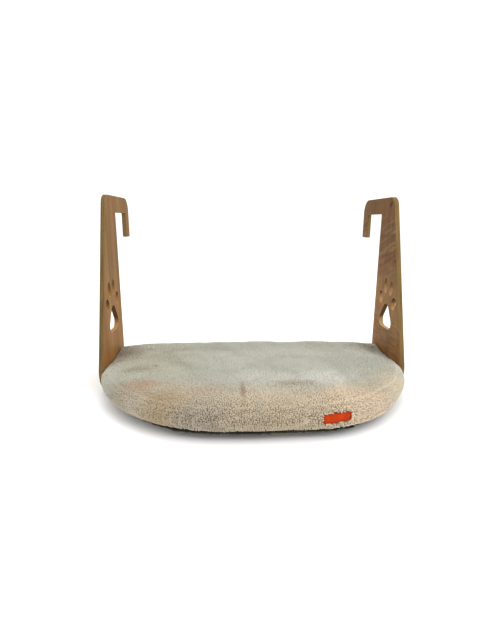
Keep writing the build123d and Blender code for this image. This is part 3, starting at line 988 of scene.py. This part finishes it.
def tape_mesh(low, high, edge_up):
    """A zip tape with woven ribs, from its edge at the coil to the strip tucked in under the plush."""
    columns = 200
    height = high.z - low.z
    runs = np.r_[np.array(TAPE_ROW_SHARES) * height, height + TAPE_TUCK * np.array(TUCK_ROW_SHARES)]
    tucked = smooth_step(runs, height, height + TAPE_TUCK) * TAPE_TUCK_DEPTH
    ribs = TAPE_RIB_DEPTH * np.cos(runs / height * TAPE_RIBS * math.pi) - 0.12 * MM
    xs = np.linspace(low.x, high.x, columns)
    ripple = 0.06 * MM * np.sin(xs / (6.1 * MM))
    outer = [(high.y + rib - tuck, run) for rib, tuck, run in zip(ribs, tucked, runs)]
    inner = [(low.y + 0.12 * MM - tuck, run) for tuck, run in zip(tucked, runs)]
    points = []
    for y, run in outer + inner[::-1]:
        z = low.z + run if edge_up else high.z - run
        points.append(np.c_[xs, y + ripple * run / height, np.full(columns, z)])
    count = len(points)
    return np.stack(points, axis=1).reshape(-1, 3), ring_faces(columns, count) + end_faces(columns, count)


def coil_path(low, high, side):
    """One half of the coil: a flattened helix whose outer loops reach the other half."""
    turns = int((high.x - low.x - 1 * MM) / COIL_PITCH)
    angle = np.linspace(0, turns * 2 * math.pi, turns * COIL_TURN_POINTS + 1)
    half_y = (high.y - low.y) / 2 - COIL_WIRE_RADIUS
    half_z = (high.z - low.z) / 2 - COIL_WIRE_RADIUS + 0.02 * MM
    x = low.x + 0.5 * MM + angle / (2 * math.pi) * COIL_PITCH
    y = (low.y + high.y) / 2 + half_y * np.sin(angle)
    z = (low.z + high.z) / 2 + side * half_z * np.cos(angle)
    return np.c_[x, y, z]


def tape_sewing(low, high, row):
    """Points and faces of the row of stitches that holds a tape in the cover, at the height row."""
    stitches = []
    for step in range(int((high.x - low.x - 2 * MM) / TAPE_STITCH_PITCH)):
        x = low.x + 1.5 * MM + (step + np.linspace(0.1, 0.86, 5)) * TAPE_STITCH_PITCH
        y = high.y + np.array([-0.15, 0.1, 0.16, 0.1, -0.15]) * MM
        stitches.append(tube_mesh(np.c_[x, y, np.full(5, row)], TAPE_STITCH_RADIUS, 5))
    return join_meshes(stitches)


def make_zip(tape_cloth, nylon, thread):
    """The tapes, the coil's windings and the rows of stitches that hold the tapes in the cover."""
    for name, side in (("lower", -1), ("upper", 1)):
        low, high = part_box(f"{name}_zip_tape")
        turns = coil_path(*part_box(f"{name}_zip_coil"), side)
        tape = mesh_object(f"{name}_woven_tape", *tape_mesh(low, high, side > 0), tape_cloth)
        coil = mesh_object(f"{name}_coil_windings", *tube_mesh(turns, COIL_WIRE_RADIUS, 6), nylon)
        row = high.z - TAPE_STITCH_INSET if side > 0 else low.z + TAPE_STITCH_INSET
        sewing = mesh_object(f"{name}_tape_stitches", *tape_sewing(low, high, row), thread)
        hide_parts(f"{name}_zip_tape")
        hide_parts(f"{name}_zip_coil")
        for piece, slot in ((tape, "zip_tape"), (coil, "zip_coil"), (sewing, "zip_tape")):
            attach(piece, "cushion")


# The pile

# how long and how thick a curl is on top of the cushion, and how deep it is rooted
CURL_HEIGHT, CURL_RADIUS, CURL_ROOT = mm(1.5, 1.26, 0.6)


def pile_roots(cushion):
    """Where the curls stand on the cushion, and which way is out there."""
    points, normals = read_points(cushion), read_normals(cushion)
    free = free_front(points[:, 0], points[:, 1])[0]
    shown = (points[:, 2] > FLOOR + 0.6 * MM - free * FRONT_SAG) & (normals[:, 2] > -0.86)
    at_zip = zip_band(points, 8.6 * MM, 2 * MM, 1 * MM) > 0.5
    across, up, at_front = label_place(points)
    margin = 0.4 * MM
    beneath = (np.abs(across) < LABEL_WIDTH / 2 - margin) & (np.abs(up) < LABEL_HEIGHT / 2 - margin)
    keep = shown & ~at_zip & ~(at_front & beneath)
    return points[keep], normals[keep]


def curls(roots, normals, height, radius, lean, curl):
    """One bent three-sided curl for each root: rings at the root, middle and shoulder, then the tip."""
    side = unit(np.cross(normals, lean))
    lean = np.cross(side, normals)
    h, r, c = height[:, None], radius[:, None], curl[:, None]
    spine = [
        roots - CURL_ROOT * normals,
        roots + h * (0.50 * normals + 0.20 * c * lean),
        roots + h * (0.88 * normals + 0.55 * c * lean),
        roots + h * ((1.06 - 0.28 * c) * normals + 0.88 * c * lean),
    ]
    rings = []
    for level, width in ((0, 0.85), (1, 1.12), (2, 0.98)):
        axis = unit(spine[level + 1] - spine[max(level - 1, 0)])
        out = np.cross(side, axis)
        for corner in range(3):
            angle = 2 * math.pi * corner / 3
            rings.append(spine[level] + r * width * (math.cos(angle) * out + math.sin(angle) * side))
    rings.append(spine[3])
    return np.stack(rings, axis=1)


# a curl's side faces, its tip's faces, and how far towards the tip its points are
CURL_QUADS = [(i, j, upper_j, upper_i) for j, i, upper_i, upper_j in ring_faces(3, 3)]
CURL_TIPS = [(6 + k, 6 + (k + 1) % 3, 9) for k in range(3)]
CURL_TIP_SHARES = [0, 0, 0, 0.55, 0.55, 0.55, 0.9, 0.9, 0.9, 1]
CURL_POINTS = len(CURL_TIP_SHARES)


def curl_mesh(name, points, shades, material):
    """One mesh of all the curls, each of ten points and nine faces."""
    count = len(points)
    base = np.arange(count)[:, None] * CURL_POINTS
    one = np.concatenate([np.array(CURL_QUADS).ravel(), np.array(CURL_TIPS).ravel()])
    corners = (base + one[None, :]).ravel()
    sizes = [4] * len(CURL_QUADS) + [3] * len(CURL_TIPS)
    starts = np.r_[0, np.cumsum(np.tile(sizes, count))[:-1]]
    mesh = bpy.data.meshes.new(name)
    mesh.vertices.add(count * CURL_POINTS)
    mesh.vertices.foreach_set("co", points.reshape(-1))
    mesh.loops.add(len(corners))
    mesh.loops.foreach_set("vertex_index", corners)
    mesh.polygons.add(len(starts))
    mesh.polygons.foreach_set("loop_start", starts)
    shade_smooth(mesh)
    mesh.update(calc_edges=True)
    fields = {"tip": np.tile(CURL_TIP_SHARES, count), "own_shade": np.repeat(shades, CURL_POINTS)}
    for field, values in fields.items():
        attribute = mesh.attributes.new(field, "FLOAT", "POINT")
        attribute.data.foreach_set("value", values.astype(np.float32))
    mesh.materials.append(material)
    return add_object(name, mesh)


def curliness(roots, normals):
    """How curly the pile is: 0 on top, where it lies short, and up to 1 towards the front and the sides."""
    ahead = -roots[:, 1] + wave_field(roots, 70 * MM, 5) * 25 * MM
    ahead -= 25 * MM * smooth_step(roots[:, 0], 40 * MM, 110 * MM)
    return np.maximum(smooth_step(ahead, 75 * MM, 175 * MM), smooth_step(0.75 - normals[:, 2], 0, 0.4))


def frame_label(roots, height, lean):
    """Makes the curls beside the label taller, and has them lean over its edge."""
    across, up, at_front = label_place(roots)
    beside = np.maximum(np.abs(across) - LABEL_WIDTH / 2, np.abs(up) - LABEL_HEIGHT / 2)
    framing = at_front & (beside < 2.6 * MM)
    height[framing] += 0.6 * MM
    inward = on_label(np.zeros(1), np.zeros(1), np.zeros(1))[0] - roots
    lean[framing] = unit(0.35 * unit(inward)[framing] + lean[framing])


def make_pile(cushion, material):
    """Real pile over the cushion: lying short on top, and curly towards the front and the sides."""
    roots, normals = pile_roots(cushion)
    count = len(roots)
    tangent = unit(np.cross(normals, [0.37, 0.91, 0.18]))
    second = np.cross(normals, tangent)
    x, y = roots[:, 0], roots[:, 1]
    worn = smooth_step(WORN_SLANT * x - y, *WORN_AHEAD) * smooth_step(np.abs(x - WORN_MIDDLE), *WORN_SIDES)
    stray = (1.2 - 0.7 * worn) * MM
    for direction in (tangent, second):
        roots = roots + (chance.uniform(-1, 1, count) * stray)[:, None] * direction
    curly = curliness(roots, normals)
    swirl = wave_field(roots, 120 * MM, 21) * 2.4
    heading = swirl * (1 - curly) + curly * chance.uniform(0, 2 * math.pi, count)
    heading += chance.normal(0, 0.5, count)
    lean = np.cos(heading)[:, None] * tangent + np.sin(heading)[:, None] * second
    knobbly = curly * (0.15 + 0.85 * worn)
    height = CURL_HEIGHT + (0.4 * curly + 0.9 * knobbly + chance.uniform(-0.3, 0.3, count)) * MM
    uneven = chance.uniform(-0.16, 0.2, count) * (1 - 0.5 * knobbly)
    radius = CURL_RADIUS + (uneven - 0.32 * knobbly) * MM
    curl = 0.9 - 0.35 * knobbly + 0.2 * chance.uniform(-1, 1, count)
    frame_label(roots, height, lean)
    free = free_front(roots[:, 0], roots[:, 1])[0]
    free *= smooth_step(roots[:, 2] - FLOOR + FRONT_SAG, 6 * MM, 1 * MM)
    lean = unit(lean + free[:, None] * [0, 0, -1.5])
    points = curls(roots, normals, height, radius, lean, curl)
    flat = squeeze(points.reshape(-1, 3), PILE_GAP)
    free = free_front(flat[:, 0], flat[:, 1])[0]
    flat[:, 2] = np.maximum(flat[:, 2], panel_low.z + 0.3 * MM - free * (FRONT_SAG + 1.0 * MM))
    points = flat.reshape(points.shape)
    spread = 0.05 * wave_field(roots, 9 * MM, 33) + chance.normal(0, 0.22, count)
    shades = np.clip(0.55 + spread * (0.15 + 0.15 * knobbly), 0, 1)
    order = np.argsort(roots[:, 1])
    for number, chosen in enumerate(np.array_split(order, 4)):
        part = curl_mesh(f"plush_pile_{number + 1}", points[chosen], shades[chosen], material)
        part.parent = cushion


# The scene

def make_camera():
    """The camera as solved from the two brackets in the photograph."""
    focal_pixels, long_side = 402.585, 618
    stand = Matrix.Translation(mm(-46.6, -675.4, 284.5))
    # its angles to the right, down and about its own axis, in radians
    yaw, pitch, roll = 0.0583, 0.2278, 0.0056
    turns = ((-yaw, "Z"), (math.pi / 2 - pitch, "X"), (roll, "Z"))
    data = bpy.data.cameras.new("camera")
    data.sensor_width = 36
    data.lens = focal_pixels / long_side * data.sensor_width
    data.shift_x = -0.0076
    data.shift_y = 0.0070
    camera = add_object("camera", data)
    camera.matrix_world = stand
    for angle, axis in turns:
        camera.matrix_world @= Matrix.Rotation(angle, 4, axis)
    bpy.context.scene.camera = camera


def make_floor():
    """A wide pale floor."""
    reach = 12.0
    corners = [(-reach, -reach, 0), (reach, -reach, 0), (reach, reach, 0), (-reach, reach, 0)]
    mesh_object("floor", corners, [(0, 1, 2, 3)], floor_material(), smooth=False)


def make_light(name, stand, size, power):
    """An area light that shines at the bed's middle."""
    data = bpy.data.lights.new(name, "AREA")
    data.size = size
    data.energy = power * LIGHT_LEVEL
    lamp = add_object(name, data)
    lamp.location = stand
    lamp.rotation_euler = (Vector((0, 0, 0.1)) - Vector(stand)).to_track_quat("-Z", "Y").to_euler()


def make_lights():
    """An even white studio, with a soft key light from the upper right."""
    world = bpy.data.worlds.new("studio")
    world.use_nodes = True
    background = world.node_tree.nodes["Background"]
    background.inputs["Color"].default_value = grey(1)
    background.inputs["Strength"].default_value = LIGHT_LEVEL
    bpy.context.scene.world = world
    make_light("key", (1.3, -1.2, 1.9), 1.4, 14)
    make_light("overhead", (0, 0.2, 2.2), 2.0, 12)


def dress_nodes():
    """The rigid nodes' materials."""
    left_wood = wood_material(
        "left bracket wood",
        (srgb(122, 89, 52), srgb(145, 108, 65), srgb(162, 124, 77)),
        (srgb(98, 79, 45), srgb(126, 103, 67)),
        2,
        1.3,
        # hole tones: painted shade on the paw's downward walls, painted light on its upward ones
        paw_wall_painted_shade=(srgb(92, 60, 28), srgb(136, 98, 56), srgb(172, 132, 84)),
    )
    right_wood = wood_material(
        "right bracket wood",
        (srgb(92, 64, 42), srgb(129, 94, 58), srgb(154, 119, 76)),
        (srgb(113, 87, 50), srgb(138, 112, 70)),
        2,
        4.1,
        # hole tones: painted shade on the paw's downward walls, painted light on its upward ones
        paw_wall_painted_shade=(srgb(90, 62, 36), srgb(160, 124, 84), srgb(180, 146, 104)),
        figure=0.85,
        knot=(inner_face, 57 * MM, 313.5 * MM),
    )
    board_wood = wood_material(
        "board wood",
        (srgb(150, 116, 80), srgb(176, 142, 102), srgb(194, 162, 122)),
        (srgb(150, 118, 82), srgb(192, 158, 116)),
        0,
        7.7,
    )
    steel = metal_material("bolt steel", srgb(190, 190, 192), 0.3, 0)
    nut_steel = metal_material("nut steel", srgb(182, 182, 178), 0.36, 2)
    zip_metal = metal_material("zip metal", srgb(176, 170, 158), 0.3, 0)
    shown = (
        (left_wood, "left_bracket"),
        (right_wood, "right_bracket"),
        (board_wood, "base_board"),
        (steel, "left_bolts", "right_bolts"),
        (nut_steel, "left_barrel_nuts", "right_barrel_nuts"),
        (zip_metal, "zip_stops", "zip_slider", "zip_pull"),
    )
    for material, *names in shown:
        for name in names:
            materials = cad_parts[name].data.materials
            materials.clear()
            materials.append(material)


def main():
    make_camera()
    dress_nodes()
    cushion = make_cushion(plush_material())
    make_pile(cushion, pile_material())
    make_filling(filling_material())
    make_underside(
        woven_material("underside cloth", srgb(34, 37, 31), srgb(56, 59, 51), 0.9 * MM),
        woven_material("underside binding", srgb(40, 43, 34), srgb(72, 74, 60), 0.7 * MM),
    )
    make_label(
        woven_material("label cloth", srgb(168, 46, 10), srgb(212, 68, 14), 0.5 * MM),
        # the thread is darker than the label: partly its own colour and partly painted shade where the pile
        # meets the label's edge
        thread_material("label thread", srgb(112, 32, 16), srgb(168, 50, 18)),
    )
    make_zip(
        woven_material("zip tape cloth", srgb(150, 138, 116), srgb(190, 179, 156), 0.6 * MM),
        plastic_material("zip coil nylon", srgb(178, 166, 142), srgb(200, 190, 168)),
        thread_material("tape thread", srgb(180, 170, 148), srgb(206, 198, 178)),
    )
    make_floor()
    make_lights()
    bpy.context.scene.view_settings.view_transform = "Standard"


main()
